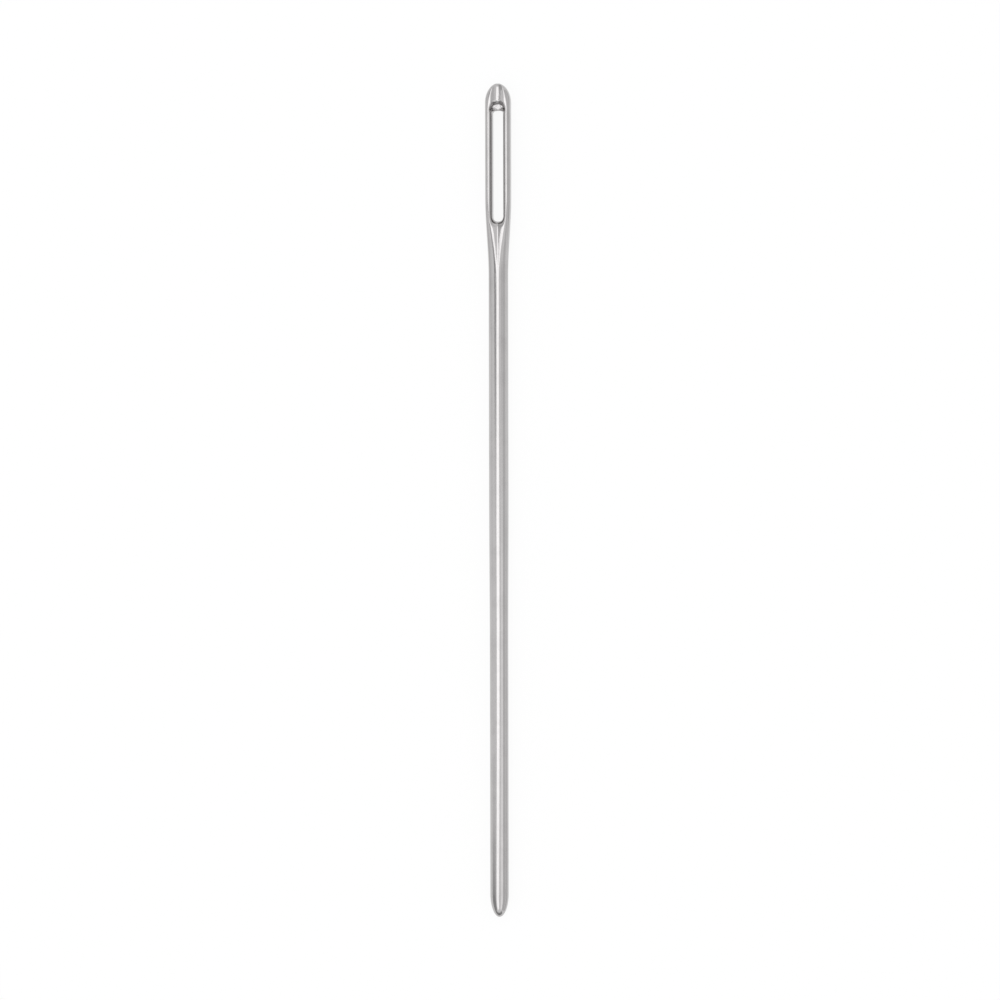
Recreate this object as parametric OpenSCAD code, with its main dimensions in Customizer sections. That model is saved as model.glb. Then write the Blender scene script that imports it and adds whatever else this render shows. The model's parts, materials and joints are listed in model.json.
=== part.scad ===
// Steel yarn needle with a long pressed eye and a blunt rounded point.
// It lies flat on its surface: the length runs along X with the head towards +X, the head's
// width runs along Y, and the eye opens along Z. Sizes are in millimetres.

/* [Shaft] */
// Length of the needle from crown to point
needle_l = 70; // [54:1:90]
// Diameter of the straight shaft below the head
shaft_d = 1.64; // [1.56:0.02:1.9]
// Length of the straight shaft
straight_l = 18; // [6:0.5:24]
// Length of the faint taper that follows the straight shaft
taper_l = 12; // [3:0.5:18]
// Diameter of the shaft between the taper and the point
lower_d = 1.55; // [1.4:0.01:1.62]
// Length of the rounded point
point_l = 1.95; // [0.9:0.05:4]

/* [Head] */
// Width of the head over its two rims
head_w = 2.18; // [1.96:0.02:2.6]
// Thickness of the head over its two rims
head_t = 1.64; // [1.4:0.02:1.8]
// Squareness of the rims' outer sides: 2 is an ellipse, and more is squarer
rim_fullness = 2.3; // [2:0.1:4]
// Length of the rounded crown
crown_l = 1.6; // [0.8:0.05:2.2]
// Squareness of the crown seen from the side
crown_fullness = 4; // [2:0.5:8]
// Length of the neck that narrows from the head to the shaft
neck_l = 6.6; // [3:0.1:9]
// Length of the neck that lies beside the eye
neck_lap = 2; // [0.5:0.1:4]

/* [Eye] */
// Distance from the end of the crown to the eye
eye_inset = 2.27; // [1.9:0.05:4]
// Clear length of the eye
eye_l = 9.3; // [6:0.1:12]
// Clear width of the eye
eye_w = 0.84; // [0.5:0.02:0.96]
// Length of the eye's rounded end by the crown
eye_top_l = 0.24; // [0.16:0.02:0.8]
// Length of the eye's rounded end by the shaft
eye_foot_l = 0.5; // [0.16:0.02:0.8]
// Width of the round lip along each side of the eye
side_lip = 0.33; // [0.2:0.01:0.42]
// Length from the eye to the crest over it, on the crown
crown_lip = 0.86; // [0.6:0.02:1.2]
// Length of the pressed ledge that lies between the eye and that crest
ledge_l = 0.54; // [0.2:0.02:0.58]
// Height of the ledge over the middle plane
ledge_h = 0.3; // [0.1:0.02:0.5]
// Length of the round lip at the shaft's end of the eye
foot_lip = 0.7; // [0.2:0.02:1.2]

/* [Gutters] */
// Length of the gutter that runs out from the eye down the shaft
foot_gutter_l = 5.4; // [3:0.1:7]
// Depth of that gutter where it meets the eye
foot_gutter_d = 0.15; // [0.06:0.01:0.3]
// Steepness of that gutter's flanks, as rise over run
foot_slope = 0.3; // [0.2:0.02:0.8]
// Depth of the gutter over the crown
crown_gutter_d = 0.17; // [0.06:0.01:0.3]
// Steepness of that gutter's flanks, as rise over run
crown_slope = 0.6; // [0.4:0.05:1.2]
// Softness of the gutters' upper edges
crease = 0.05; // [0.03:0.01:0.12]

/* [Hidden] */

shaft_r = shaft_d / 2;
lower_r = lower_d / 2;
head_r = head_w / 2;
rim_h = head_t / 2;
eye_r = eye_w / 2;
crest_y = eye_r + side_lip;
crown_x = needle_l / 2;
point_x = -needle_l / 2;
// Height of the middle plane over the surface that the needle lies on
middle_z = max(shaft_r, rim_h);

// Places along the needle, as distances from the end of the crown
eye_top = eye_inset;
eye_foot = eye_inset + eye_l;
neck_top = eye_foot - neck_lap;
neck_foot = neck_top + neck_l;
gutter_foot = eye_foot + foot_gutter_l;
head_foot = max(neck_foot, gutter_foot);

// The head's last section is seated inside the shaft by this length, and is this much slimmer
seat_l = 0.2;
seat_gap = 0.003;
neck_r = shaft_r - seat_gap;

// Radii that round the two gutters' floors
foot_round = 0.05;
crown_round = 0.36;
// Share of the lower gutter's depth that is gone soon below the eye, and how soon
early_rise = 0.3;
early_power = 6;
// Share of the crease that is left where the lower gutter ends
last_crease = 0.3;
// Length over which both gutters fade out beside the eye
fade_l = 1.8;
// Fullness of the eye's ends, of its lip and of the ledge's edge: 2 is an ellipse
end_fullness = 2.5;
lip_fullness = 2.2;
ledge_fullness = 3.5;

// The lower gutter's mouth, where the eye's lip has died out
mouth = eye_foot + foot_lip;

// How finely the head is divided. The eye's edge and the head's outline are walked together
// from the crown round to the neck, in this many steps over each stretch.
crown_n = 10;
shoulder_n = 4;
side_n = 8;
hip_n = 4;
across_n = 12;
walk_shoulder_n = crown_n + shoulder_n;
walk_side_n = walk_shoulder_n + side_n;
walk_hip_n = walk_side_n + hip_n;
walk_n = walk_hip_n + across_n;
// Steps from the eye's edge out to the outline, rows down the neck, and facets of the point
out_n = 14;
neck_n = 16;
point_n = 24;

function mix(a, b, t) = a + (b - a) * t;
function share(t) = max(0, min(1, t));
function ease(t) = let (u = share(t)) u * u * (3 - 2 * u);
// A share that starts and ends slowly, so that points crowd at both edges
function crowd(t) = (1 - cos(180 * t)) / 2;

// The lesser of two heights, with the corner between them rounded over a height of k
function soft_min(a, b, k) = let (h = max(k - abs(a - b), 0) / k) min(a, b) - h * h * k / 4;

// A share that starts upright and ends level, along a quarter of a superellipse
function rounded(t, fullness) = pow(1 - pow(1 - share(t), fullness), 1 / fullness);

// The pressed blank: its plan narrows to the shaft at the neck and closes at the crown
function crown(d, fullness) = rounded(d / crown_l, fullness);
function neck(d) = ease((d - neck_top) / neck_l);
function half_w(d) = crown(d, 2) * mix(head_r, neck_r, neck(d));
function half_h(d) = crown(d, crown_fullness) * mix(rim_h, neck_r, neck(d));
function flat_w(d) = pow(crown(d, 2), 2) * crest_y * (1 - neck(d));

// Height of the blank's rounded skin over the middle plane
function skin(d, y) =
    let (s = (abs(y) - flat_w(d)) / (half_w(d) - flat_w(d)))
    half_h(d) * rounded(1 - max(0, s), mix(rim_fullness, 2, neck(d)));

// A gutter's surface: straight flanks over a rounded floor
function trough(floor_h, slope, round_r, y) =
    floor_h + slope * (sqrt(y * y + round_r * round_r) - round_r);

// How far down the lower gutter a place lies, and the softness of the gutters' edges there
function down(d) = share((d - eye_foot) / foot_gutter_l);
function crease_at(d) = crease * crown(d, crown_fullness) * mix(1, last_crease, down(d));

// Floor of the lower gutter: deepest at the eye's foot, and gone up the eye and down the shaft
function foot_floor(d) =
    let (left = 1 - down(d), kept = mix(left, pow(left, early_power), early_rise))
    half_h(d) + mix(crease_at(d), -foot_gutter_d, kept * (1 - ease((eye_foot - d) / fade_l)));

// Floor of the upper gutter: as deep all over the crown, and gone down the eye
function crown_floor(d) =
    half_h(d) + mix(-crown_gutter_d * crown(d, crown_fullness), crease,
                    ease((d - eye_top) / fade_l));

// The half of the eye that a place lies in, and how far it lies beyond the eye's straight part
function by_crown(d) = d < (eye_top + eye_foot) / 2;
function end_l(d) = by_crown(d) ? eye_top_l : eye_foot_l;
function lip_l(d) = by_crown(d) ? crown_lip : foot_lip;
function past_eye(d) = max(0, eye_top + eye_top_l - d, d - (eye_foot - eye_foot_l));

// The lip's height as a share of the metal's, from 0 at the eye's edge to 1 at the crest. It
// rises in one curve, and towards the crown in two with the ledge between them.
function reach(dx, y, l, w) =
    pow(pow(dx / l, end_fullness) + pow(y / w, end_fullness), 1 / end_fullness);
function ledge_lip(t) =
    let (turn = ledge_l / crown_lip)
    t < turn ? ledge_h / rim_h * rounded(t / turn, ledge_fullness)
             : mix(ledge_h / rim_h, 1, rounded((t - turn) / (1 - turn), lip_fullness));
function lip(d, y) =
    let (dx = past_eye(d),
         inner = 1 / reach(dx, y, end_l(d), eye_r),
         outer = 1 / reach(dx, y, end_l(d) + lip_l(d), crest_y),
         t = share((1 - inner) / (outer - inner)),
         over = by_crown(d) ? ease(dx / (eye_top_l + ledge_l / 2)) : 0)
    mix(rounded(t, lip_fullness), ledge_lip(t), over);

// Height of the finished head over its middle plane
function height(d, y) =
    let (k = crease_at(d),
         lower = soft_min(skin(d, y), trough(foot_floor(d), foot_slope, foot_round, y), k),
         both = soft_min(lower, trough(crown_floor(d), crown_slope, crown_round, y), k))
    max(0, both) * lip(d, y);

// A quarter of one of the eye's rounded ends, turned by an angle from its tip
function end_point(tip, l, angle) =
    [tip + l * (1 - pow(cos(angle), 2 / end_fullness)),
     eye_r * pow(sin(angle), 2 / end_fullness)];

// The walk along the eye's edge, as [distance from the crown's end, y]
function eye_point(k) =
    k <= walk_shoulder_n ? end_point(eye_top, eye_top_l, 90 * k / walk_shoulder_n) :
    k < walk_side_n ? [mix(eye_top + eye_top_l, eye_foot - eye_foot_l,
                           (k - walk_shoulder_n) / side_n), eye_r] :
    end_point(eye_foot, -eye_foot_l, 90 * (walk_n - k) / (walk_n - walk_side_n));

// The same walk along the head's outline, which ends across the mouth of the lower gutter
function on_outline(d) = [d, half_w(d)];
function outline_point(k) =
    k <= crown_n ? [crown_l * (1 - cos(90 * k / crown_n)), head_r * sin(90 * k / crown_n)] :
    k <= walk_shoulder_n ? on_outline(mix(crown_l, eye_top + eye_top_l,
                                          (k - crown_n) / shoulder_n)) :
    k < walk_side_n ? on_outline(eye_point(k)[0]) :
    k <= walk_hip_n ? on_outline(mix(eye_foot - eye_foot_l, mouth, (k - walk_side_n) / hip_n)) :
    [mouth, half_w(mouth) * (1 - crowd((k - walk_hip_n) / across_n))];

// One quarter of the head, with y and z above 0: a ring of steps out from the eye, then the neck
function ring_place(k, j) =
    let (p = mix(eye_point(k), outline_point(k), crowd(j / out_n)))
    [p[0], p[1], j == 0 || (j == out_n && k <= walk_hip_n) ? 0 : height(p[0], p[1])];
function neck_place(d, c) =
    let (y = half_w(d) * (1 - crowd(c / across_n)))
    [d, y, c == 0 ? 0 : height(d, y)];

neck_rows = concat([for (r = [1:neck_n]) mix(mouth, head_foot, r / neck_n)], [head_foot + seat_l]);
quarter = concat(
    [for (k = [0:walk_n], j = [0:out_n]) ring_place(k, j)],
    [for (d = neck_rows, c = [0:across_n]) neck_place(d, c)]);
function ring_at(k, j) = k * (out_n + 1) + j;
function neck_at(r, c) =
    r == 0 ? ring_at(walk_hip_n + c, out_n)
           : (walk_n + 1) * (out_n + 1) + (r - 1) * (across_n + 1) + c;
function ring_patches(k0, k1) =
    [for (k = [k0:k1 - 1], j = [0:out_n - 1])
        [ring_at(k, j), ring_at(k + 1, j), ring_at(k + 1, j + 1), ring_at(k, j + 1)]];
neck_patches =
    [for (r = [0:neck_n], c = [0:across_n - 1])
        [neck_at(r, c), neck_at(r, c + 1), neck_at(r + 1, c + 1), neck_at(r + 1, c)]];

// The four quarters, as the signs of y and z. A point on the middle plane of y or z belongs to
// the quarters on both sides of it, so each quarter looks up which one holds the point.
SIGNS = [[1, 1], [-1, 1], [-1, -1], [1, -1]];
Y_SHARED = [0, 0, 3, 3];
Z_SHARED = [0, 1, 1, 0];
function holder(p, q) =
    p[1] == 0 && p[2] == 0 ? 0 : p[1] == 0 ? Y_SHARED[q] : p[2] == 0 ? Z_SHARED[q] : q;
function at(i, q) = holder(quarter[i], q) * len(quarter) + i;
function turned(f, q) = q % 2 == 0 ? f : [for (i = [len(f) - 1:-1:0]) f[i]];

ALL_QUARTERS = [0, 1, 2, 3];
LEFT = [0, 3];
RIGHT = [2, 1];

head_points = [for (q = ALL_QUARTERS, p = quarter)
    [crown_x - p[0], SIGNS[q][0] * p[1], SIGNS[q][1] * p[2]]];

// The skin over some quarters, from the patches of one
function skin_faces(patches, quarters) =
    [for (q = quarters, f = patches, t = [[f[0], f[1], f[2]], [f[0], f[2], f[3]]])
        turned([for (i = t) at(i, q)], q)];

// A cut straight across one side of the eye, where the walk has come to step k. It goes out over
// one of the side's two quarters and back over the other, and so faces the crown or the shaft.
function cut(k, out, back) =
    concat([for (j = [0:out_n]) at(ring_at(k, j), out)],
           [for (j = [out_n - 1:-1:1]) at(ring_at(k, j), back)]);
function crown_cut(k, side) = cut(k, side[0], side[1]);
function shaft_cut(k, side) = cut(k, side[1], side[0]);
neck_cut = [for (q = ALL_QUARTERS, c = [0:across_n - 1])
    at(neck_at(neck_n + 1, q % 2 == 0 ? c : across_n - c), q)];

module lofted(faces) {
    color("silver")
        translate([0, 0, middle_z])
            polyhedron(points = head_points, faces = faces, convexity = 8);
}

// The rounded end over the eye, with a gutter on both faces
module crown() {
    lofted(concat(
        skin_faces(ring_patches(0, walk_shoulder_n), ALL_QUARTERS),
        [for (side = [LEFT, RIGHT]) shaft_cut(walk_shoulder_n, side)]));
}

// One straight side of the eye
module rim(side) {
    lofted(concat(
        skin_faces(ring_patches(walk_shoulder_n, walk_side_n), side),
        [crown_cut(walk_shoulder_n, side), shaft_cut(walk_side_n, side)]));
}

// The end of the eye, where the neck and its two gutters narrow to the shaft
module neck_loft() {
    lofted(concat(
        skin_faces(concat(ring_patches(walk_side_n, walk_n), neck_patches), ALL_QUARTERS),
        [for (side = [LEFT, RIGHT]) crown_cut(walk_side_n, side)],
        [neck_cut]));
}

// Straight shaft, taper and rounded point, turned about the needle's axis
module turned_shaft() {
    straight_x = crown_x - head_foot;
    taper_x = straight_x - straight_l;
    color("silver")
        translate([0, 0, middle_z])
            rotate([0, 90, 0])
                rotate_extrude($fn = 96)
                    polygon(concat(
                        [[0, point_x]],
                        [for (k = [1:point_n])
                            [lower_r * sin(90 * k / point_n),
                             point_x + point_l * (1 - cos(90 * k / point_n))]],
                        [[lower_r, taper_x - taper_l], [shaft_r, taper_x],
                         [shaft_r, straight_x], [0, straight_x]]));
}

module shaft() {
    union() {
        neck_loft();
        turned_shaft();
    }
}

crown();
rim(LEFT);  // left_rim
rim(RIGHT);  // right_rim
shaft();
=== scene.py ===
"""Yarn needle: the looks of one polished steel needle that lies on a white sweep.

Every length is in metres in the part's own frame. +X runs along the needle towards the head, +Y
across the flat of the head and +Z up through the eye. The needle lies on z = 0.
"""
import json
import math

import bpy
import numpy as np
from bpy.props import FloatProperty, IntProperty, PointerProperty, StringProperty
from mathutils import Matrix, Vector


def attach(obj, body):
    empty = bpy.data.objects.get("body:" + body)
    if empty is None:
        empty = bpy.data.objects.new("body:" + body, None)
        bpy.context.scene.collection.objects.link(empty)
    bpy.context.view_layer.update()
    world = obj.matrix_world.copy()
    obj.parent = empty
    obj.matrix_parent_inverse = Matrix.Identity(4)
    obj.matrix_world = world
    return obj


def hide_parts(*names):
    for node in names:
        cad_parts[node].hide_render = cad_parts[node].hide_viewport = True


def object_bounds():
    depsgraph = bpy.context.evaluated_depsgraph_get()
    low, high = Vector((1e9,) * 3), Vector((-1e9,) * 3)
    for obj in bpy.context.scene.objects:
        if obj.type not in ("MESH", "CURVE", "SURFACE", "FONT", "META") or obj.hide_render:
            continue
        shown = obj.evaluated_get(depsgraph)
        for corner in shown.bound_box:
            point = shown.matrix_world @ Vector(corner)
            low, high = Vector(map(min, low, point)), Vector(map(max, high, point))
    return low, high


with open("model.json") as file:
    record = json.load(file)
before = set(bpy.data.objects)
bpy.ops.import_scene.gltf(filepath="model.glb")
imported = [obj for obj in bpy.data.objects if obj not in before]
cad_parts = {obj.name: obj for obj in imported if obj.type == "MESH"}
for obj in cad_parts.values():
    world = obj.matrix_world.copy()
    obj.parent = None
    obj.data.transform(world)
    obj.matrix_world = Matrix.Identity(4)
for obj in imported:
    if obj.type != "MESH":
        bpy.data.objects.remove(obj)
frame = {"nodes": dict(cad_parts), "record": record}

bl_info = {
    "name": "Yarn Needle",
    "version": (1, 0, 0),
    "blender": (4, 5, 0),
    "location": "3D View > Sidebar > Needle",
    "description": "Makes a polished steel yarn needle and the white stage that it lies on",
    "category": "Add Mesh",
}

MM = 0.001
CAD_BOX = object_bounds()
CAD_SIZE = CAD_BOX[1] - CAD_BOX[0]
MOUNTS = {mount["name"]: mount for mount in frame["record"]["mounts"]}
SHAFT = MOUNTS["shaft"]["dims"]


def length(name, description, default, **more):
    """A length in metres, shown in the user's unit, with its default given in metres."""
    return FloatProperty(name=name, description=description, default=default, min=0.0,
                         unit="LENGTH", precision=6, **more)


def fraction(name, description, default, **more):
    """A share between 0 and 1."""
    return FloatProperty(name=name, description=description, default=default, min=0.0, max=1.0,
                         subtype="FACTOR", precision=3, **more)


def angle(name, description, degrees):
    """An angle, stored in radians, with its default given in degrees."""
    return FloatProperty(name=name, description=description, default=math.radians(degrees),
                         unit="ROTATION")


def count(name, description, default, least):
    """A whole number of steps."""
    return IntProperty(name=name, description=description, default=default, min=least)


def colour(name, description, default):
    """A colour, as an sRGB hex value."""
    return StringProperty(name=name, description=description, default=default)


class NeedleSizes(bpy.types.PropertyGroup):
    """The wire: shaft, taper, point and the outline of the pressed head."""
    needle_l: length("Length", "Length from crown to point", CAD_SIZE.x)
    shaft_d: length("Shaft diameter", "Diameter of the straight shaft", 2 * SHAFT["r_mm"] * MM)
    straight_l: length("Straight length", "Length of the straight shaft", SHAFT["length_mm"] * MM)
    taper_l: length("Taper length", "Length of the faint taper", 12 * MM)
    lower_d: length("Lower diameter", "Diameter between the taper and the point", 1.55 * MM)
    point_l: length("Point length", "Length of the rounded point", 1.95 * MM)
    head_w: length("Head width", "Width over the two rims", CAD_SIZE.y)
    head_t: length("Head thickness", "Thickness over the two rims", CAD_SIZE.z)
    crown_l: length("Crown length", "Length of the rounded crown", 1.6 * MM)
    crown_fullness: FloatProperty(name="Crown fullness", default=4.0, min=2.0, max=8.0,
                                  description="Squareness of the crown seen from the side")
    rim_fullness: FloatProperty(name="Rim fullness", default=2.3, min=2.0, max=4.0,
                                description="Squareness of the rims' outer sides")
    neck_l: length("Neck length", "Length over which the head narrows to the shaft", 6.6 * MM)
    neck_lap: length("Neck lap", "Length of the neck that lies beside the eye", 2 * MM)


class EyeSizes(bpy.types.PropertyGroup):
    """The punched eye and the round lip along its edge."""
    inset: length("Inset", "Distance from the end of the crown to the eye", 2.27 * MM)
    long: length("Length", "Clear length of the eye", 9.3 * MM)
    wide: length("Width", "Clear width of the eye", 0.84 * MM)
    crown_end_l: length("Upper end length", "Length of the rounded end by the crown", 0.24 * MM)
    foot_end_l: length("Lower end length", "Length of the rounded end by the shaft", 0.5 * MM)
    end_fullness: FloatProperty(name="End fullness", default=2.5, min=2.0, max=6.0,
                                description="Shape of the ends: 2 is an ellipse, more is squarer")
    side_lip: length("Side lip", "Width of the lip along each side", 0.33 * MM)
    crown_lip: length("Crown lip", "Length of the lip at the crown's end", 0.86 * MM)
    foot_lip: length("Foot lip", "Length of the lip at the shaft's end", 0.7 * MM)
    lip_fullness: FloatProperty(name="Lip fullness", default=2.2, min=2.0, max=4.0,
                                description="Shape of the lip: 2 is an ellipse, more is squarer")
    ledge_l: length("Ledge", "Length of the ledge between the eye and the crown", 0.54 * MM)
    ledge_h: length("Ledge height", "Height of the ledge over the middle plane", 0.3 * MM)
    ledge_fullness: FloatProperty(name="Ledge fullness", default=3.5, min=2.0, max=6.0,
                                  description="Squareness of the ledge's edge")


class GutterSizes(bpy.types.PropertyGroup):
    """The two gutters that are pressed into each face, one above and one below the eye."""
    foot_l: length("Lower length", "Length of the gutter down the shaft", 5.4 * MM)
    foot_depth: length("Lower depth", "Depth of the lower gutter where it meets the eye", 0.15 * MM)
    foot_slope: FloatProperty(name="Lower steepness", default=0.3, min=0.1,
                              description="Rise over run of the lower gutter's flanks")
    foot_round: length("Lower rounding", "Radius that rounds the lower gutter's floor", 0.05 * MM)
    early_rise: fraction("Early rise", "Share of the depth that is gone soon below the eye", 0.3)
    early_power: FloatProperty(name="Early power", default=6.0, min=1.0,
                               description="How soon that share of the depth is gone")
    foot_crease: fraction("Lower crease", "Crease that is left where the lower gutter ends", 0.3)
    crown_depth: length("Upper depth", "Depth of the gutter over the crown", 0.17 * MM)
    crown_slope: FloatProperty(name="Upper steepness", default=0.6, min=0.1,
                               description="Rise over run of the upper gutter's flanks")
    crown_round: length("Upper rounding", "Radius that rounds the upper gutter's floor", 0.36 * MM)
    crease: length("Crease", "Softness of the gutters' upper edges", 0.05 * MM)
    fade_l: length("Fade", "Length over which both gutters fade out beside the eye", 1.8 * MM)


class MeshCounts(bpy.types.PropertyGroup):
    """How finely one quarter of the needle is divided."""
    crown_n: count("Crown", "Steps round the crown", 44, 4)
    shoulder_n: count("Shoulder", "Steps beside the eye's top", 10, 2)
    side_n: count("Sides", "Steps along the eye's side", 60, 4)
    hip_n: count("Hip", "Steps beside the eye's foot", 16, 2)
    across_n: count("Across", "Steps across the shaft", 44, 6)
    out_n: count("Out", "Steps from the eye to the outline", 44, 6)
    neck_n: count("Neck", "Rows down the neck", 64, 4)
    shaft_n: count("Shaft", "Rows down the shaft", 48, 6)
    point_n: count("Point", "Rows round the point", 40, 6)


class FinishSettings(bpy.types.PropertyGroup):
    """The nickel-plated steel."""
    bright: colour("Bright metal", "Colour of the polished plating", "#BBB9B9")
    # This colour is also the painted shade that darkens the gutters and the eye's lip by their
    # depth
    dull_and_shade: colour("Dull metal", "Colour of the duller patches and of the gutters' floors", "#B0AEAE")
    roughness: fraction("Roughness", "Roughness of the polished plating", 0.13)
    line_gap: length("Line spacing", "Distance between the polishing lines", 0.09 * MM)
    line_l: length("Line length", "Length of a polishing line", 5 * MM)
    line_depth: length("Line depth", "Depth of the polishing lines", 0.0004 * MM)
    cloud_size: length("Cloud size", "Size of the duller patches", 1.6 * MM)
    mark_size: length("Punch mark size", "Size of the rough marks above the eye", 0.4 * MM)
    mark_depth: length("Punch mark depth", "Depth of the rough marks above the eye", 0.07 * MM)
    marks_l: length("Punch marks length", "How far the marks reach up from the eye", 1.7 * MM)


class StudioSettings(bpy.types.PropertyGroup):
    """Camera, lamp, cards and sweep."""
    tilt: angle("Camera tilt", "How far the camera leans round the needle's axis", 6.0)
    lean: angle("Camera lean", "How far the needle leans in the picture", 0.106)
    lens: FloatProperty(name="Lens", description="Focal length", default=100.0, unit="CAMERA")
    picture_w: length("Picture width", "Width that the picture takes in", 84.03 * MM)
    aside: length("Aside", "How far the picture's centre lies to the right of the needle", 0.1 * MM)
    ahead: length("Ahead", "How far the picture's centre lies towards the head", 0.03 * MM)
    fill: FloatProperty(name="Fill light", default=0.9, min=0.0,
                        description="Strength of the white surroundings as a light")
    lamp_level: FloatProperty(name="Lamp", default=0.95, min=0.0,
                              description="Radiance of the overhead lamp; 1 is white")
    far: length("Distance", "Distance of the lamp and the cards from the needle", 0.6)
    near: length("Foil distance", "Distance of the two foils from the line under the needle",
                 2.5 * MM)
    lamp_l: length("Lamp length", "Length of the lamp along the needle", 1.3)
    lamp_from: angle("Lamp from", "Angle over the needle at which the lamp starts", -20.0)
    lamp_to: angle("Lamp to", "Angle over the needle at which the lamp ends", 10.0)
    floor_w: length("Sweep width", "Width of the white sweep", 4.0)
    floor_white: fraction("Sweep white", "Share of plain white in the sweep's colour", 0.9)


# The studio's cards, cut to run along the needle and seen in the metal alone. Each row is
# a station: its x, the two angles between which the card stands there, in degrees from upright to
# the picture's right, and its shade, where 1 is white and the soft box is brighter.
CARDS = {
    "soft_box": [
        (0.6, -26, 10, 1.9), (0.12, -26, 10, 1.9), (0.115, -34, 12, 1.95), (0.09, -34, 12, 1.95),
        (0.082, -26, 10, 1.9), (0.07, -11, 13, 1.9), (0.05, -17, 9, 1.9), (0.028, -17, 9, 1.9),
        (0.0, -22, 10, 1.95), (-0.05, -22, 13, 1.98), (-0.083, -23, 8.5, 1.98),
        (-0.1, -28, 1, 1.9), (-0.11, -30, -2, 1.85), (-0.6, -30, -2, 1.85)],
    "left_flag": [
        (1.5, -28, -75, 0.55), (0.3, -30, -68, 0.62), (0.18, -31, -46, 0.75),
        (0.12, -31, -46, 0.65), (0.115, -36, -48, 0.7), (0.09, -36, -48, 0.7),
        (0.082, -31, -46, 0.4), (0.07, -18, -42, 0.3), (0.045, -23, -42, 0.3),
        (0.02, -25, -43, 0.95), (-0.03, -27, -45, 1.0)],
    "left_shade": [(0.6, -76, -106, 0.86), (0.0, -76, -106, 0.88), (-0.05, -76, -106, 1.0)],
    "left_wing": [
        (-0.083, -42, -115, 1.0), (-0.1, -42, -115, 0.88), (-0.106, -42, -115, 0.66),
        (-0.112, -42, -115, 0.42), (-0.6, -42, -115, 0.4)],
    "right_strip": [
        (0.6, 34, 52, 0.8), (0.045, 34, 52, 0.8), (0.02, 34, 52, 1.0), (0.0, 34, 52, 1.0),
        (-0.015, 34, 53, 1.26), (-0.083, 31, 54, 1.26), (-0.1, 24, 49, 1.35),
        (-0.6, 24, 49, 1.35)],
    "right_card": [
        (0.6, 53, 90, 0.75), (-0.02, 55, 90, 0.78), (-0.083, 56, 90, 0.83), (-0.1, 51, 90, 0.75),
        (-0.6, 51, 90, 0.7)],
}
# Two foils that stand close to the needle, where a card far out would be under the sweep
FOILS = {
    "left_foil": [
        (0.036, -60, -89, 0.9), (0.032, -60, -89, 0.76), (0.018, -60, -89, 0.76),
        (0.014, -60, -89, 1.0)],
    "right_foil": [
        (0.036, 64, 89, 0.72), (0.032, 62, 89, 0.64), (0.024, 62, 89, 0.64),
        (0.021, 64, 89, 1.0), (0.002, 64, 89, 1.0), (-0.003, 64, 89, 0.86),
        (-0.02, 64, 89, 0.82), (-0.036, 64, 89, 0.7)],
}
TIP_CARD_SHADE = 0.35
TIP_CARD_SHARE = 0.7  # how far it reaches to the picture's right, as a share of its reach left

MARKS_WIDE = 0.9  # how far the punch marks keep their depth, in half widths of the eye
MARKS_FADE = 0.4  # over how much more they fade
LINE_SHARE = 0.2  # how much the hair lines vary the roughness, either way
DULL_SHARE = 0.5  # how much rougher the dullest metal is

GROUPS = {
    "needle_sizes": NeedleSizes,
    "needle_eye": EyeSizes,
    "needle_gutters": GutterSizes,
    "needle_counts": MeshCounts,
    "needle_finish": FinishSettings,
    "needle_studio": StudioSettings,
}


def mix(a, b, t):
    """a at t = 0 and b at t = 1, in a straight line."""
    return a + (b - a) * t


def share(t):
    """t held between 0 and 1."""
    return np.clip(t, 0.0, 1.0)


def ease(t):
    """0 to 1 along the cubic 3t^2 - 2t^3, level at both ends."""
    u = share(t)
    return u * u * (3 - 2 * u)


def crowd(t):
    """0 to 1 along half a cosine wave, so that points crowd at both ends."""
    return (1 - np.cos(np.pi * t)) / 2


def soft_min(a, b, k):
    """The lesser of a and b, less a quarter of k times the square of their closeness."""
    near = np.maximum(k - np.abs(a - b), 0) / k
    return np.minimum(a, b) - near * near * k / 4


def rounded(t, fullness):
    """0 to 1 along a quarter superellipse: upright at t = 0 and level at t = 1."""
    return (1 - (1 - t) ** fullness) ** (1 / fullness)


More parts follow.
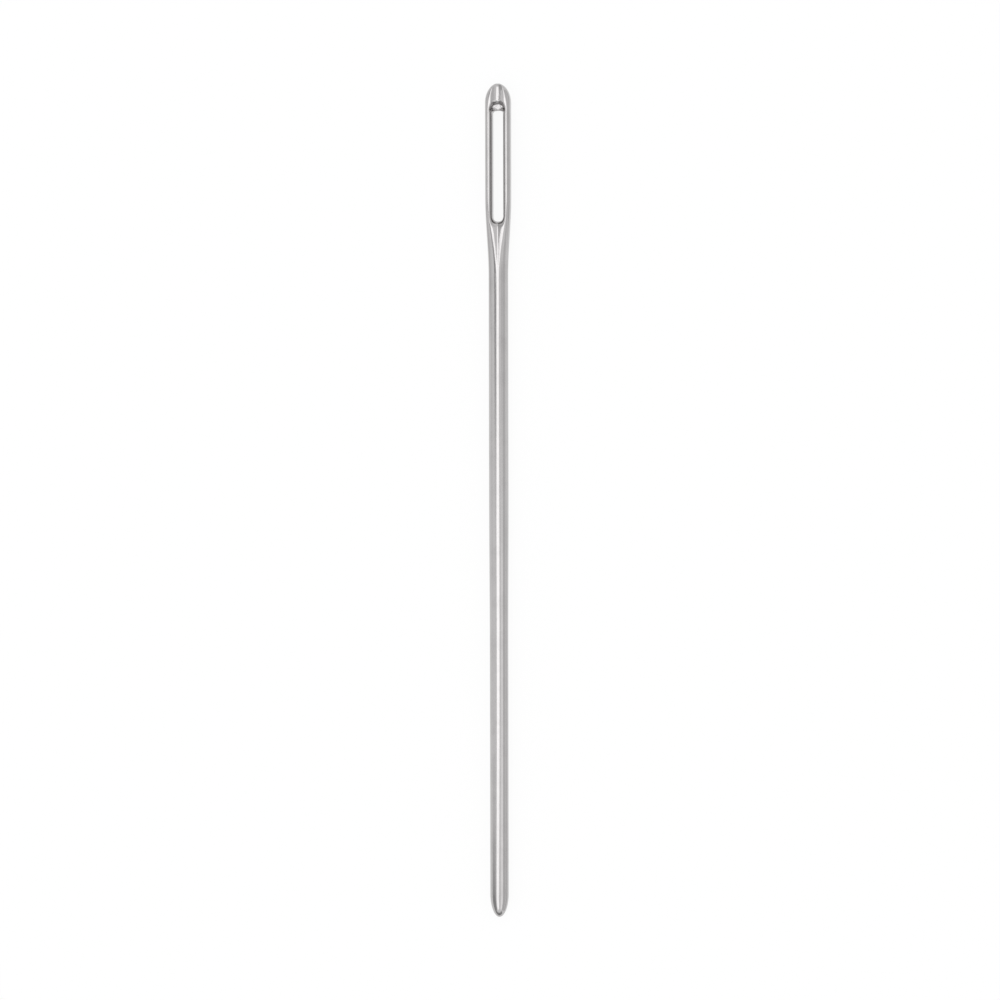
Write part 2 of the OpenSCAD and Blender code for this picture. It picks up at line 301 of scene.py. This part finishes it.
class Form:
    """The needle as heights over its middle plane.

    d is the distance from the end of the crown and y the distance from the axis, both arrays.
    """

    def __init__(self, sizes, eye, gutters):
        self.sizes, self.eye, self.gutters = sizes, eye, gutters
        self.shaft_r = sizes.shaft_d / 2
        self.head_r = sizes.head_w / 2
        self.rim_h = sizes.head_t / 2
        self.eye_r = eye.wide / 2
        self.crest_y = self.eye_r + eye.side_lip
        self.eye_top = eye.inset
        self.eye_foot = eye.inset + eye.long
        self.neck_top = self.eye_foot - sizes.neck_lap
        self.mouth = self.eye_foot + eye.foot_lip
        self.head_foot = max(self.neck_top + sizes.neck_l, self.eye_foot + gutters.foot_l)
        self.taper_d = self.head_foot + sizes.straight_l
        self.point_d = sizes.needle_l - sizes.point_l

    def wire_r(self, d):
        """Radius of the round wire: straight, then an eased taper, then a quarter ellipse."""
        taper = ease((d - self.taper_d) / self.sizes.taper_l)
        past = share((d - self.point_d) / self.sizes.point_l)
        return mix(self.shaft_r, self.sizes.lower_d / 2, taper) * np.sqrt(1 - past * past)

    def crown(self, d, fullness=2.0):
        """Share of the full size, along a quarter superellipse from the crown's end."""
        return rounded(share(d / self.sizes.crown_l), fullness)

    def neck(self, d):
        """How far the head has turned into the shaft, from 0 to 1."""
        return ease((d - self.neck_top) / self.sizes.neck_l)

    def half_w(self, d):
        """Half the width of the outline seen from above."""
        return self.crown(d) * mix(self.head_r, self.wire_r(d), self.neck(d))

    def half_h(self, d):
        """Half the thickness of the pressed blank."""
        return (self.crown(d, self.sizes.crown_fullness)
                * mix(self.rim_h, self.wire_r(d), self.neck(d)))

    def skin(self, d, y):
        """The pressed blank: flat between its crests, then a superellipse to its outline."""
        neck = self.neck(d)
        wide = self.half_w(d)
        flat = (1 - (1 - share(d / self.eye_top)) ** 2) * self.crest_y * (1 - neck)
        s = share((np.abs(y) - flat) / np.maximum(wide - flat, 1e-9))
        return self.half_h(d) * rounded(1 - s, mix(self.sizes.rim_fullness, 2, neck))

    @staticmethod
    def trough(floor_h, slope, round_r, y):
        """A gutter across the needle: a hyperbola that rises from its floor to straight flanks."""
        return floor_h + slope * (np.sqrt(y * y + round_r * round_r) - round_r)

    def down(self, d):
        """How far down the lower gutter a place lies, from 0 at the eye to 1 at its end."""
        return share((d - self.eye_foot) / self.gutters.foot_l)

    def crease(self, d):
        """Softness of the gutters' edges, which shrinks down the lower gutter."""
        g = self.gutters
        return (g.crease * self.crown(d, self.sizes.crown_fullness)
                * mix(1, g.foot_crease, self.down(d)))

    def foot_gutter(self, d, y):
        """The lower gutter: deepest at the eye's foot, rising down the shaft, gone up the eye."""
        g, high = self.gutters, self.half_h(d)
        left = 1 - self.down(d)
        kept = (mix(left, left ** g.early_power, g.early_rise)
                * (1 - ease((self.eye_foot - d) / g.fade_l)))
        return self.trough(high + mix(self.crease(d), -g.foot_depth, kept),
                           g.foot_slope, g.foot_round, y)

    def crown_gutter(self, d, y):
        """The upper gutter: as deep all over the crown, and gone down the eye."""
        g = self.gutters
        gone = ease((d - self.eye_top) / g.fade_l)
        deep = g.crown_depth * self.crown(d, self.sizes.crown_fullness)
        return self.trough(self.half_h(d) + mix(-deep, g.crease, gone),
                           g.crown_slope, g.crown_round, y)

    def reach(self, past, y, end_l, half):
        """Distance from the eye's end centre in a superellipse of that length and half width."""
        p = self.eye.end_fullness
        return ((past / end_l) ** p + (y / half) ** p) ** (1 / p)

    def lip(self, d, y):
        """The lip: 0 at the eye's edge, and 1 from the crest outwards.

        Along the sides and at the foot it rises along one quarter superellipse. Towards the
        crown it turns into two, with the ledge between them.
        """
        e = self.eye
        upper = d < (self.eye_top + self.eye_foot) / 2
        past = np.where(upper, self.eye_top + e.crown_end_l - d, d - self.eye_foot + e.foot_end_l)
        past = np.maximum(0, past)
        end_l = np.where(upper, e.crown_end_l, e.foot_end_l)
        lip_l = np.where(upper, e.crown_lip, e.foot_lip)
        inner = self.reach(past, y, end_l, self.eye_r)
        outer = self.reach(past, y, end_l + lip_l, self.crest_y)
        inner, outer = 1 / np.maximum(inner, 1e-9), 1 / np.maximum(outer, 1e-9)
        t = share((1 - inner) / np.maximum(outer - inner, 1e-9))
        turn, ledge = e.ledge_l / e.crown_lip, e.ledge_h / self.rim_h
        stepped = np.where(
            t < turn, ledge * rounded(share(t / turn), e.ledge_fullness),
            mix(ledge, 1, rounded(share((t - turn) / (1 - turn)), e.lip_fullness)))
        amount = np.where(upper, ease(past / (e.crown_end_l + e.ledge_l / 2)), 0)
        return mix(rounded(t, e.lip_fullness), stepped, amount)

    def height(self, d, y):
        """The blank's skin, cut by both gutters with soft edges, times the eye's lip."""
        k = np.maximum(self.crease(d), 1e-9)
        cut = soft_min(self.skin(d, y), self.foot_gutter(d, y), k)
        cut = soft_min(cut, self.crown_gutter(d, y), k)
        return np.maximum(cut, 0) * self.lip(d, y)

    # The metal is painted darker by this depth: painted shade in the gutters and down the eye's lip
    def recess_shade(self, d, y):
        """How deep a place lies under the blank's skin, as a share of the skin's height."""
        skin = np.maximum(self.skin(d, y), 1e-9)
        return share(1 - self.height(d, y) / skin)

    def punched(self, d, y, marks_l):
        """How much of the punch's rough marks a place bears.

        All just above the eye and inside its width, and none from marks_l above it on, well
        beside it, or down the rims.
        """
        above = 1 - ease((self.eye_top - d) / marks_l)
        inside = 1 - ease((np.abs(y) / self.eye_r - MARKS_WIDE) / MARKS_FADE)
        below = 1 - ease((d - self.eye_top) / self.eye_r)
        return above * inside * below

    def eye_edge(self, k, counts):
        """The walk along the eye's edge: a superellipse's quarter, a line and another quarter."""
        e = self.eye
        shoulder = counts.crown_n + counts.shoulder_n
        side, last = shoulder + counts.side_n, walk_length(counts)
        turn = np.where(k <= shoulder, k / shoulder, share((last - k) / (last - side))) * np.pi / 2
        power = 2 / e.end_fullness
        end_l = np.where(k <= shoulder, e.crown_end_l, e.foot_end_l)
        back = end_l * (1 - np.clip(np.cos(turn), 0, 1) ** power)
        along = mix(self.eye_top + e.crown_end_l, self.eye_foot - e.foot_end_l,
                    (k - shoulder) / counts.side_n)
        d = np.select([k <= shoulder, k < side], [self.eye_top + back, along], self.eye_foot - back)
        y = np.where((k > shoulder) & (k < side), self.eye_r, self.eye_r * np.sin(turn) ** power)
        return d, y

    def outline(self, k, counts):
        """The same walk along the outline: crown, sides, and across the lower gutter's mouth."""
        e, crown_n = self.eye, counts.crown_n
        shoulder = crown_n + counts.shoulder_n
        side = shoulder + counts.side_n
        hip = side + counts.hip_n
        turn = share(k / crown_n) * np.pi / 2
        beside = self.eye_foot - e.foot_end_l
        d = np.select(
            [k <= crown_n, k <= shoulder, k < side, k <= hip],
            [self.sizes.crown_l * (1 - np.cos(turn)),
             mix(self.sizes.crown_l, self.eye_top + e.crown_end_l,
                 (k - crown_n) / counts.shoulder_n),
             self.eye_edge(k, counts)[0],
             mix(beside, self.mouth, (k - side) / counts.hip_n)], self.mouth)
        across = 1 - crowd(share((k - hip) / counts.across_n))
        y = np.where(k <= crown_n, self.head_r * np.sin(turn), self.half_w(d) * across)
        return d, y


def walk_length(counts):
    """Steps in the whole walk round the eye, from the crown to the lower gutter's mouth."""
    return counts.crown_n + counts.shoulder_n + counts.side_n + counts.hip_n + counts.across_n


def ring_grid(form, counts):
    """One quarter of the head: straight lines from the eye's edge out to the outline.

    Returns arrays of d, y and z over a grid of the walk's steps by the steps outwards.
    """
    last = walk_length(counts)
    hip = last - counts.across_n
    k = np.arange(last + 1.0)
    t = crowd(np.arange(counts.out_n + 1.0) / counts.out_n)[None, :]
    (eye_d, eye_y), (out_d, out_y) = form.eye_edge(k, counts), form.outline(k, counts)
    d = mix(eye_d[:, None], out_d[:, None], t)
    y = mix(eye_y[:, None], out_y[:, None], t)
    z = form.height(d, y)
    z[:, 0] = 0
    z[:hip + 1, -1] = 0
    return d, y, z


def row_grid(form, counts):
    """One quarter of the rest: rows across the needle from the gutter's mouth to the point."""
    sizes = form.sizes
    neck = np.linspace(form.mouth, form.head_foot, counts.neck_n + 1)
    shaft = np.linspace(form.head_foot, form.point_d, counts.shaft_n + 1)[1:]
    turn = np.linspace(0, np.pi / 2, counts.point_n + 1)[1:]
    point = form.point_d + sizes.point_l * np.sin(turn)
    d = np.concatenate([neck, shaft, point])[:, None]
    t = 1 - crowd(np.arange(counts.across_n + 1.0) / counts.across_n)[None, :]
    y = form.half_w(d) * t
    d = np.broadcast_to(d, y.shape)
    z = form.height(d, y)
    z[:, 0] = 0
    z[-1, :] = 0
    y[-1, :] = 0
    return d, y, z


def grid_quads(rows, columns, first):
    """Corners of the quads between neighbouring points of a grid, counted from first."""
    r, c = np.meshgrid(np.arange(rows - 1), np.arange(columns - 1), indexing="ij")
    low = (first + r * columns + c).ravel()
    return np.stack([low, low + columns, low + columns + 1, low + 1], 1)


def needle_surface(form, counts, marks_l):
    """The whole closed skin: one quarter, mirrored into four, with coinciding points made one.

    Returns points, triangles, and the points' depth under the skin, which sets the painted shade,
    and share of the punch marks. A triangle whose corners fall together, as at the point's pole,
    is dropped.
    """
    ring, rows = ring_grid(form, counts), row_grid(form, counts)
    d, y, z = (np.concatenate([a.ravel(), b.ravel()]) for a, b in zip(ring, rows))
    values = np.stack([form.recess_shade(d, y), form.punched(d, y, marks_l)])
    ring_shape, row_shape = ring[0].shape, rows[0].shape
    row_quads = grid_quads(*row_shape, 0)[:, ::-1] + ring[0].size
    quads = np.concatenate([grid_quads(*ring_shape, 0), row_quads])
    triangles = np.concatenate([quads[:, [0, 1, 2]], quads[:, [0, 2, 3]]])
    points, corners = [], []
    for index, (side, face) in enumerate([(1, 1), (-1, 1), (-1, -1), (1, -1)]):
        x = form.sizes.needle_l / 2 - d
        points.append(np.stack([x, side * y, face * z + form.shaft_r], 1))
        turned = triangles if side * face > 0 else triangles[:, ::-1]
        corners.append(turned + index * len(d))
    points, corners = np.concatenate(points), np.concatenate(corners)
    keys = np.round(points / (1e-6 * MM)).astype(np.int64)
    _, kept, same = np.unique(keys, axis=0, return_index=True, return_inverse=True)
    corners = same.ravel()[corners]
    whole = ((corners[:, 0] != corners[:, 1]) & (corners[:, 1] != corners[:, 2])
             & (corners[:, 2] != corners[:, 0]))
    return points[kept], corners[whole], np.tile(values, 4)[:, kept]


def mesh_object(name, points, triangles):
    """A smooth object at the origin, from an array of points and one of triangles."""
    mesh = bpy.data.meshes.new(name)
    mesh.vertices.add(len(points))
    mesh.vertices.foreach_set("co", points.astype(np.float32).ravel())
    mesh.loops.add(triangles.size)
    mesh.loops.foreach_set("vertex_index", triangles.astype(np.int32).ravel())
    mesh.polygons.add(len(triangles))
    mesh.polygons.foreach_set("loop_start", np.arange(0, triangles.size, 3, dtype=np.int32))
    mesh.polygons.foreach_set("use_smooth", np.ones(len(triangles), dtype=bool))
    mesh.update(calc_edges=True)
    if mesh.validate():
        raise RuntimeError(f"the mesh of {name} had faults")
    made = bpy.data.objects.new(name, mesh)
    bpy.context.scene.collection.objects.link(made)
    return made


def linear(hex_colour):
    """An sRGB hex value such as #B9BABB as linear red, green, blue and alpha."""
    parts = [int(hex_colour[i:i + 2], 16) / 255 for i in (1, 3, 5)]
    return [c / 12.92 if c <= 0.04045 else ((c + 0.055) / 1.055) ** 2.4 for c in parts] + [1.0]


def add_node(tree, kind, inputs=None, **settings):
    """Adds a node. An input is a plain value, or a socket that is linked to it."""
    node = tree.nodes.new(kind)
    for name, value in settings.items():
        setattr(node, name, value)
    for name, value in (inputs or {}).items():
        if isinstance(value, bpy.types.NodeSocket):
            tree.links.new(value, node.inputs[name])
        else:
            node.inputs[name].default_value = value
    return node


def new_tree(name):
    """A material with an empty node tree, and its output node."""
    material = bpy.data.materials.new(name)
    material.use_nodes = True
    material.node_tree.nodes.clear()
    return material, material.node_tree, material.node_tree.nodes.new("ShaderNodeOutputMaterial")


def seen_directly(tree):
    """1 for what the camera sees, itself or in metal or through glass, and 0 for soft light."""
    path = tree.nodes.new("ShaderNodeLightPath").outputs
    either = add_node(tree, "ShaderNodeMath", operation="MAXIMUM",
                      inputs={0: path["Is Camera Ray"], 1: path["Is Glossy Ray"]})
    return add_node(tree, "ShaderNodeMath", operation="MAXIMUM",
                    inputs={0: either.outputs[0], 1: path["Is Transmission Ray"]}).outputs[0]


def nickel_plated_steel(finish):
    """Nickel-plated steel, tumbled bright: a neutral grey mirror with a soft edge.

    The plating gives the even grey. Tumbling leaves hair lines along the needle, which blur the
    reflections a little across it, and faint duller clouds. The gutters and the eye's lip are
    painted darker by their depth, a painted shade, and made a little rougher. The punch leaves
    rough marks above the eye, which break the reflections there. The hair lines' real spacing is
    finer than the picture shows, so they are drawn coarser.
    """
    material, tree, output = new_tree("nickel_plated_steel")
    place = tree.nodes.new("ShaderNodeTexCoord").outputs["Object"]
    # Depth under the skin, which paints the gutters and the eye's lip darker: a painted shade
    recess_shade = add_node(tree, "ShaderNodeAttribute", attribute_name="recess_shade").outputs["Fac"]

    clouds = add_node(tree, "ShaderNodeTexNoise", inputs={
        "Vector": place, "Scale": 1 / finish.cloud_size, "Detail": 3.0, "Roughness": 0.6})
    dulled = add_node(tree, "ShaderNodeMapRange", inputs={
        "Value": clouds.outputs["Fac"], "From Min": 0.45, "From Max": 0.75, "To Max": 0.6})
    # The duller clouds and the painted shade of the recesses, whichever is more, darken the metal
    # and make it rougher
    shade = add_node(tree, "ShaderNodeMath", operation="MAXIMUM",
                     inputs={0: dulled.outputs["Result"], 1: recess_shade})
    metal = add_node(tree, "ShaderNodeMix", data_type="RGBA", inputs={
        "Factor": shade.outputs[0]})
    metal.inputs["A"].default_value = linear(finish.bright)
    metal.inputs["B"].default_value = linear(finish.dull_and_shade)

    # Hair lines: noise that is drawn out along the needle
    stretch = add_node(tree, "ShaderNodeMapping", inputs={
        "Vector": place, "Scale": (1 / finish.line_l, 1 / finish.line_gap, 1 / finish.line_gap)})
    lines = add_node(tree, "ShaderNodeTexNoise", inputs={
        "Vector": stretch.outputs["Vector"], "Scale": 1.0, "Detail": 4.0, "Roughness": 0.65})
    bump = add_node(tree, "ShaderNodeBump", inputs={
        "Height": lines.outputs["Fac"], "Distance": finish.line_depth, "Strength": 1.0})

    # Punch marks: rough metal that the punch tore above the eye, out of the tumbling's reach
    tears = add_node(tree, "ShaderNodeTexNoise", inputs={
        "Vector": place, "Scale": 1 / finish.mark_size, "Detail": 2.0, "Roughness": 0.55})
    punched = add_node(tree, "ShaderNodeAttribute", attribute_name="punched").outputs["Fac"]
    torn = add_node(tree, "ShaderNodeMath", operation="MULTIPLY",
                    inputs={0: tears.outputs["Fac"], 1: punched})
    marks = add_node(tree, "ShaderNodeBump", inputs={
        "Height": torn.outputs[0], "Distance": finish.mark_depth, "Strength": 1.0,
        "Normal": bump.outputs["Normal"]})
    rough = add_node(tree, "ShaderNodeMapRange", inputs={
        "Value": lines.outputs["Fac"], "From Min": 0.3, "From Max": 0.7,
        "To Min": finish.roughness * (1 - LINE_SHARE),
        "To Max": finish.roughness * (1 + LINE_SHARE)})
    rougher = add_node(tree, "ShaderNodeMath", operation="MULTIPLY_ADD", inputs={
        0: shade.outputs[0], 1: finish.roughness * DULL_SHARE, 2: rough.outputs["Result"]})

    shader = add_node(tree, "ShaderNodeBsdfPrincipled", inputs={
        "Metallic": 1.0, "Roughness": rougher.outputs[0], "Normal": marks.outputs["Normal"]})
    tree.links.new(metal.outputs["Result"], shader.inputs["Base Color"])
    tree.links.new(shader.outputs[0], output.inputs["Surface"])
    return material


def white_paper(studio):
    """Matt white background paper. Most of its white is plain, so that it reads as white, and
    the rest is lit, so that it keeps the needle's shadow."""
    material, tree, output = new_tree("white_paper")
    plain = add_node(tree, "ShaderNodeEmission", inputs={"Color": linear("#FFFFFF")})
    paper = add_node(tree, "ShaderNodeBsdfPrincipled", inputs={
        "Base Color": linear("#F5F5F5"), "Roughness": 0.9, "Specular IOR Level": 0.1})
    amount = add_node(tree, "ShaderNodeMath", operation="MULTIPLY",
                      inputs={0: seen_directly(tree), 1: studio.floor_white})
    blend = add_node(tree, "ShaderNodeMixShader", inputs={
        0: amount.outputs[0], 1: paper.outputs[0], 2: plain.outputs[0]})
    tree.links.new(blend.outputs[0], output.inputs["Surface"])
    return material


def white_surroundings(studio):
    """A world that is plain white to the eye and in metal, and a softer light."""
    world = bpy.data.worlds.new("white_surroundings")
    world.use_nodes = True
    tree = world.node_tree
    tree.nodes.clear()
    light = add_node(tree, "ShaderNodeBackground", inputs={
        "Color": linear("#FFFFFF"), "Strength": studio.fill})
    white = add_node(tree, "ShaderNodeBackground", inputs={
        "Color": linear("#FFFFFF"), "Strength": 1.0})
    blend = add_node(tree, "ShaderNodeMixShader", inputs={
        0: seen_directly(tree), 1: light.outputs[0], 2: white.outputs[0]})
    output = tree.nodes.new("ShaderNodeOutputWorld")
    tree.links.new(blend.outputs[0], output.inputs["Surface"])
    bpy.context.scene.world = world


def over(far, turned):
    """A place at a distance from the needle, turned from upright to the picture's right."""
    return Vector((0, -far * math.sin(turned), far * math.cos(turned)))


def overhead_lamp(studio):
    """The rectangular lamp between its two angles over the needle. It lights the sweep; what the
    metal shows of it is the soft box's card."""
    first, last = studio.lamp_from, studio.lamp_to
    a, b = over(studio.far, first), over(studio.far, last)
    lamp = bpy.data.lights.new("overhead_lamp", "AREA")
    lamp.shape = "RECTANGLE"
    lamp.size, lamp.size_y = studio.lamp_l, (b - a).length
    lamp.energy = studio.lamp_level * lamp.size * lamp.size_y * math.pi
    made = bpy.data.objects.new("overhead_lamp", lamp)
    made.location = (a + b) / 2
    made.rotation_euler = ((first + last) / 2, 0, 0)
    made.visible_camera = made.visible_glossy = False
    bpy.context.scene.collection.objects.link(made)


def card(name, points, quads, shades):
    """A card of the studio that shows in the metal alone, with a shade at each point."""
    made = mesh_object(name, points, np.concatenate([quads[:, [0, 1, 2]], quads[:, [0, 2, 3]]]))
    attribute = made.data.attributes.new("shade", "FLOAT", "POINT")
    attribute.data.foreach_set("value", shades.astype(np.float32).ravel())
    material, tree, output = new_tree(name)
    shade = add_node(tree, "ShaderNodeAttribute", attribute_name="shade").outputs["Fac"]
    glow = add_node(tree, "ShaderNodeEmission", inputs={"Strength": shade})
    tree.links.new(glow.outputs[0], output.inputs["Surface"])
    made.data.materials.append(material)
    made.visible_camera = made.visible_diffuse = made.visible_shadow = False


def curved_card(name, far, stations, steps=12):
    """A card along the needle, curved round it at one distance.

    A station is its x, the two angles that the card spans there in degrees, and its shade; 1 is
    white. Between two stations all of them run evenly.
    """
    x, first, last, shade = np.array(stations).T[:, :, None]
    turned = np.radians(mix(first, last, np.linspace(0, 1, steps + 1)[None, :]))
    points = np.stack([x + 0 * turned, -far * np.sin(turned), far * np.cos(turned)], -1)
    card(name, points.reshape(-1, 3), grid_quads(len(stations), steps + 1, 0),
         shade + 0 * turned)


def tip_card(studio):
    """An upright grey card that stands on the sweep beyond the point and shows in it."""
    x, high = -studio.far, studio.far / 2
    first, last = -studio.far * TIP_CARD_SHARE, studio.far
    corners = np.array([(x, first, 0), (x, first, high), (x, last, high), (x, last, 0)])
    card("tip_card", corners, np.array([[0, 1, 2, 3]]), np.full(4, TIP_CARD_SHADE))


def photo_camera(studio, target):
    """The photograph's view: from above, leaning round the needle's axis, head up."""
    data = bpy.data.cameras.new("camera")
    data.lens = studio.lens
    distance = studio.picture_w * data.lens / data.sensor_width
    turn = (Matrix.Rotation(studio.tilt, 3, "X")
            @ Matrix.Rotation(-math.pi / 2 - studio.lean, 3, "Z"))
    right, back = turn.col[0], turn.col[2]
    made = bpy.data.objects.new("camera", data)
    made.matrix_world = Matrix.Translation(
        target + back * distance + right * studio.aside) @ turn.to_4x4()
    bpy.context.scene.collection.objects.link(made)
    bpy.context.scene.camera = made


class NEEDLE_OT_make_needle(bpy.types.Operator):
    """Makes the needle as one closed skin, with its metal"""
    bl_idname = "needle.make_needle"
    bl_label = "Make needle"

    def execute(self, context):
        scene = context.scene
        form = Form(scene.needle_sizes, scene.needle_eye, scene.needle_gutters)
        points, triangles, values = needle_surface(form, scene.needle_counts,
                                                   scene.needle_finish.marks_l)
        made = mesh_object("steel_needle", points, triangles)
        # The first attribute is the depth that paints the gutters and the eye's lip darker, a
        # painted shade; the second is the punch marks
        for name, value in zip(("recess_shade", "punched"), values):
            attribute = made.data.attributes.new(name, "FLOAT", "POINT")
            attribute.data.foreach_set("value", value.astype(np.float32))
        made.data.materials.append(nickel_plated_steel(scene.needle_finish))
        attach(made, "root")
        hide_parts(*sorted(frame["nodes"]))
        return {"FINISHED"}


class NEEDLE_OT_make_stage(bpy.types.Operator):
    """Makes the white sweep, the surroundings, the lamp, the cards and the camera"""
    bl_idname = "needle.make_stage"
    bl_label = "Make stage"

    def execute(self, context):
        studio = context.scene.needle_studio
        half = studio.floor_w / 2
        corners = np.array([[-half, -half, 0], [half, -half, 0], [half, half, 0], [-half, half, 0]])
        sweep = mesh_object("white_sweep", corners, np.array([[0, 1, 2], [0, 2, 3]]))
        sweep.data.materials.append(white_paper(studio))
        white_surroundings(studio)
        overhead_lamp(studio)
        for name, stations in CARDS.items():
            curved_card(name, studio.far, stations)
        for name, stations in FOILS.items():
            curved_card(name, studio.near, stations)
        tip_card(studio)
        middle = (CAD_BOX[0] + CAD_BOX[1]) / 2
        photo_camera(studio, middle + Vector((studio.ahead, 0, 0)))
        context.scene.view_settings.view_transform = "Standard"
        return {"FINISHED"}


class NEEDLE_PT_sidebar(bpy.types.Panel):
    """Lists the needle's sizes and the operators that make it"""
    bl_idname = "NEEDLE_PT_sidebar"
    bl_label = "Yarn Needle"
    bl_space_type = "VIEW_3D"
    bl_region_type = "UI"
    bl_category = "Needle"

    def draw(self, context):
        layout = self.layout
        for name in GROUPS:
            group = getattr(context.scene, name)
            box = layout.box()
            for key in group.bl_rna.properties.keys():
                if key not in {"rna_type", "name"}:
                    box.prop(group, key)
        layout.operator(NEEDLE_OT_make_needle.bl_idname)
        layout.operator(NEEDLE_OT_make_stage.bl_idname)


CLASSES = [*GROUPS.values(), NEEDLE_OT_make_needle, NEEDLE_OT_make_stage, NEEDLE_PT_sidebar]


def register():
    """Registers the classes and puts the groups of sizes on the scene."""
    for cls in CLASSES:
        bpy.utils.register_class(cls)
    for name, group in GROUPS.items():
        setattr(bpy.types.Scene, name, PointerProperty(type=group))


def unregister():
    """Takes away what register added."""
    for name in GROUPS:
        delattr(bpy.types.Scene, name)
    for cls in reversed(CLASSES):
        bpy.utils.unregister_class(cls)


def main():
    """Makes the needle and its stage."""
    register()
    bpy.ops.needle.make_needle()
    bpy.ops.needle.make_stage()


if __name__ == "__main__":
    main()
